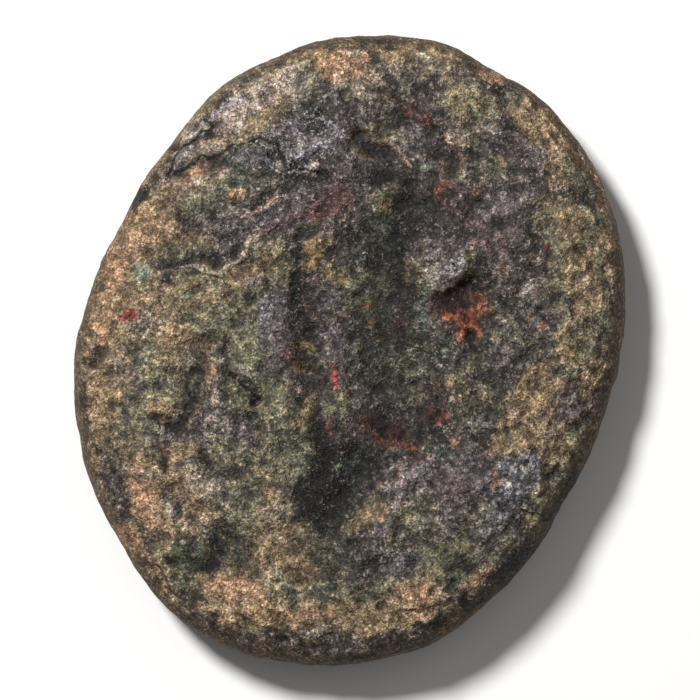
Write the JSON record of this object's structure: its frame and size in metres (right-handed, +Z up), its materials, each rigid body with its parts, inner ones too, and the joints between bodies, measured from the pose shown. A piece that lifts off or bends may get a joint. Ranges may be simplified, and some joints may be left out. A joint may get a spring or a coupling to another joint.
{
  "type": "ancient bronze coin",
  "caption": "Worn ancient bronze coin: a thick uneven oval flan with a rounded edge, its type rubbed past reading under a mottled green, black and earthy patina",
  "frame": {"origin": "the bottom centre of the bounding box, on the surface that the coin lies on, under its middle", "axes": "+Z up, out of the obverse; +Y along the longer side, to the top of the obverse; +X to the right, seen from above"},
  "size_m": [0.0231, 0.0264, 0.0044],
  "materials": {
    "bronze_patina": "aged"
  },
  "bodies": {
    "root": {"coin": "bronze_patina"}
  },
  "joints": []
}
